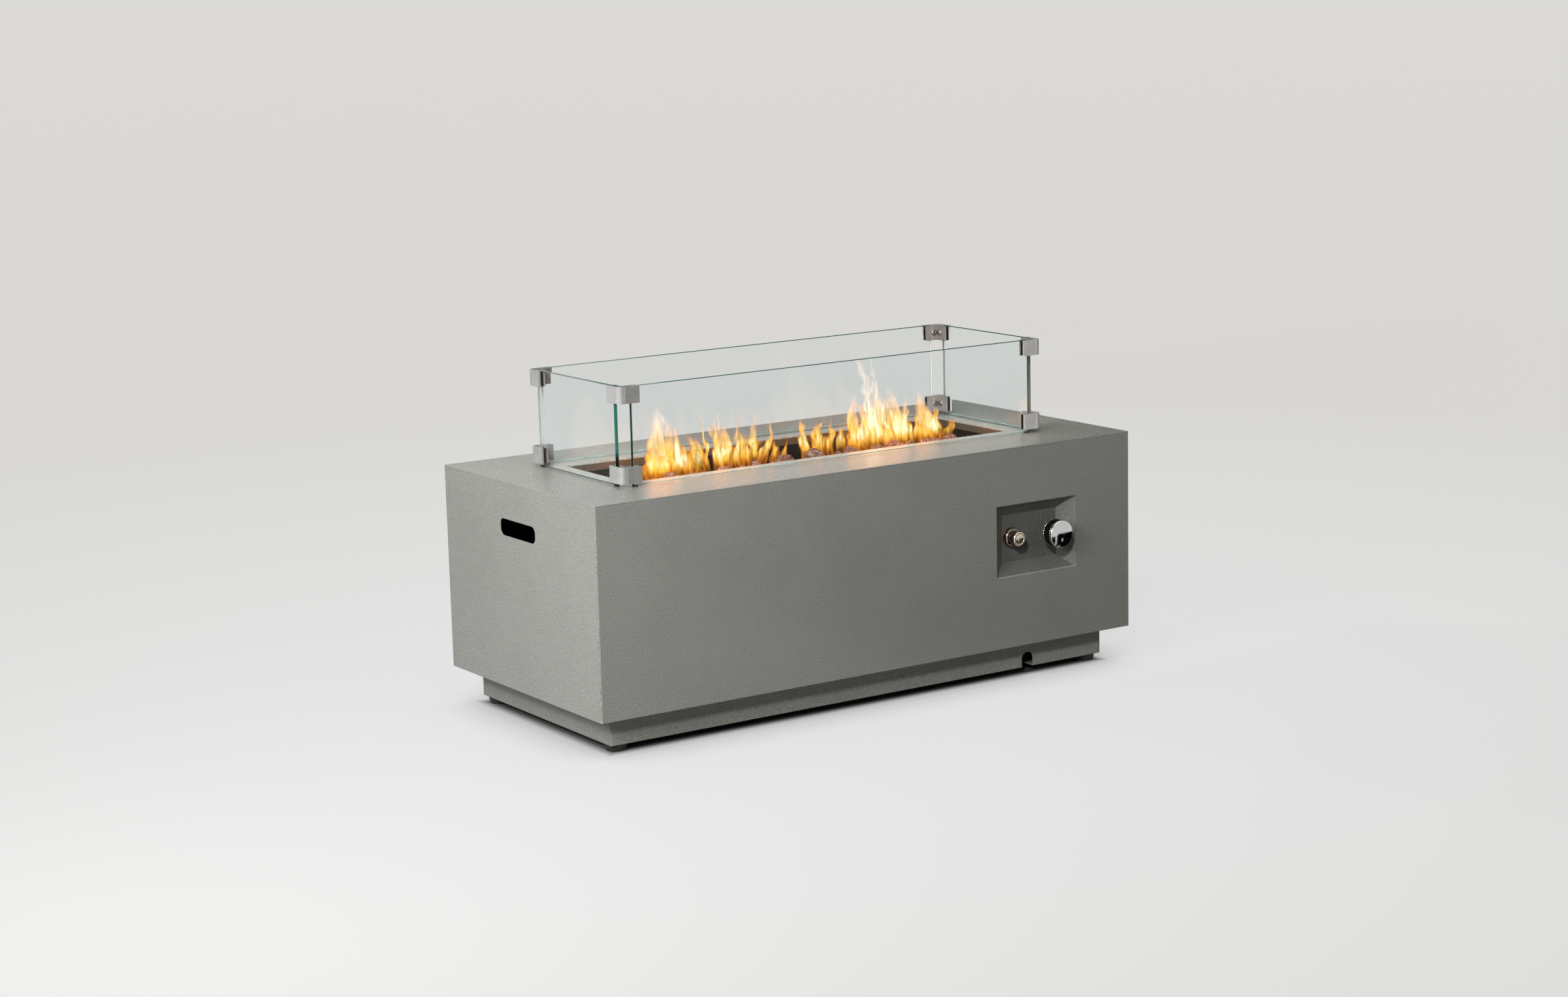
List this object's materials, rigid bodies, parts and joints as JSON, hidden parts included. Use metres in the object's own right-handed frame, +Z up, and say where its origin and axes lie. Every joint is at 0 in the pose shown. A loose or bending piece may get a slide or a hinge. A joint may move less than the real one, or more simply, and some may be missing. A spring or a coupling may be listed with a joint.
{
  "type": "gas fire pit table",
  "caption": "Low rectangular gas fire pit table with a grey steel body on a recessed plinth, a long lava rock burner in its top, a recessed knob and igniter, and a clamped glass wind guard.",
  "frame": {"origin": "on the floor under the centre of the table's body", "axes": "+X along the table, -Y out of the front with the controls, +Z up"},
  "size_m": [1.07, 0.519, 0.569],
  "materials": {
    "coat_body": "fine speckled matt powder coat, concrete grey",
    "coat_dark": "matt black primer",
    "pan_black": "heat-proof matt black",
    "steel": "satin",
    "zinc": "bright zinc plate",
    "clamp_metal": "fine satin anodised",
    "chrome": "polished",
    "nickel": "polished warm nickel",
    "brass": "as machined",
    "copper": "drawn copper",
    "rubber_black": "matt",
    "plastic_black": "fine matt",
    "cell_wrap": "shrink sleeve",
    "white_ceramic": "glazed",
    "rock": "porous red-brown lava",
    "clear_glass": "clear tempered, polished edges"
  },
  "bodies": {
    "table": {"top_panel": "coat_body", "front_panel": "coat_body", "back_panel": "coat_body", "left_end_panel": "coat_body", "right_end_panel": "coat_body", "corner_angles": "coat_dark", "plinth_front": "coat_body", "plinth_back": "coat_body", "plinth_left": "coat_body", "plinth_right": "coat_body", "plinth_bolts": "zinc", "plinth_nuts": "zinc", "foot_plates": "coat_dark", "rubber_feet": "rubber_black", "foot_screws": "zinc", "foot_nuts": "zinc", "lip_frame": "coat_body", "burner_pan": "pan_black", "rim_nuts": "zinc", "burner": "steel", "burner_caps": "steel", "burner_stands": "steel", "mixing_tube": "steel", "gas_jet": "brass", "heat_shield": "steel", "shield_spacers": "zinc", "shield_screws": "zinc", "lava_rock": "rock", "control_tray": "coat_body", "tray_nuts": "zinc", "valve_body": "brass", "valve_screws": "zinc", "valve_spring": "zinc", "safety_magnet": "zinc", "gas_inlet": "brass", "gas_pipe": "copper", "pipe_nuts": "brass", "igniter_housing": "plastic_black", "igniter_ring": "nickel", "igniter_spring": "zinc", "igniter_battery": "cell_wrap", "probe_bracket": "steel", "spark_electrode": "white_ceramic", "thermocouple": "copper", "spark_lead": "rubber_black", "thermocouple_lead": "copper"},
    "glass_guard": {"glass_front": "clear_glass", "glass_back": "clear_glass", "glass_left": "clear_glass", "glass_right": "clear_glass", "clamp_brackets": "clamp_metal", "clamp_plates": "clamp_metal", "clamp_gaskets": "rubber_black", "clamp_screws": "steel"},
    "valve_plunger": {"valve_plunger": "steel"},
    "gas_knob": {"gas_knob": "chrome", "valve_stem": "steel"},
    "valve_plug": {"valve_plug": "brass"},
    "igniter_cap": {"igniter_cap": "nickel"},
    "air_shutter": {"air_shutter": "zinc"}
  },
  "joints": [
    {"name": "guard_lift", "type": "slide", "parent": "table", "child": "glass_guard", "axis": [0, 0, 1], "range_m": [0, 0.25]},
    {"name": "knob_push", "type": "slide", "parent": "table", "child": "valve_plunger", "axis": [0, 1, 0], "range_m": [0, 0.005], "stiffness_N_per_m": 900, "springref_m": -0.004, "deforming": ["valve_spring"]},
    {"name": "knob_turn", "type": "hinge", "parent": "valve_plunger", "child": "gas_knob", "pos_m": [0.371, -0.25, 0.249], "axis": [0, -1, 0], "range_deg": [0, 210]},
    {"name": "plug_turn", "type": "hinge", "parent": "table", "child": "valve_plug", "pos_m": [0.371, -0.1868, 0.249], "axis": [0, -1, 0], "range_deg": [0, 210]},
    {"name": "igniter_push", "type": "slide", "parent": "table", "child": "igniter_cap", "axis": [0, 1, 0], "range_m": [0, 0.004], "stiffness_N_per_m": 700, "springref_m": -0.004, "deforming": ["igniter_spring"]},
    {"name": "shutter_turn", "type": "hinge", "parent": "table", "child": "air_shutter", "pos_m": [0, 0, 0.255], "axis": [0, 0, 1], "range_deg": [0, 45]}
  ],
  "couplings": [
    {"joint": "plug_turn", "follows": "knob_turn", "ratio": 1}
  ]
}
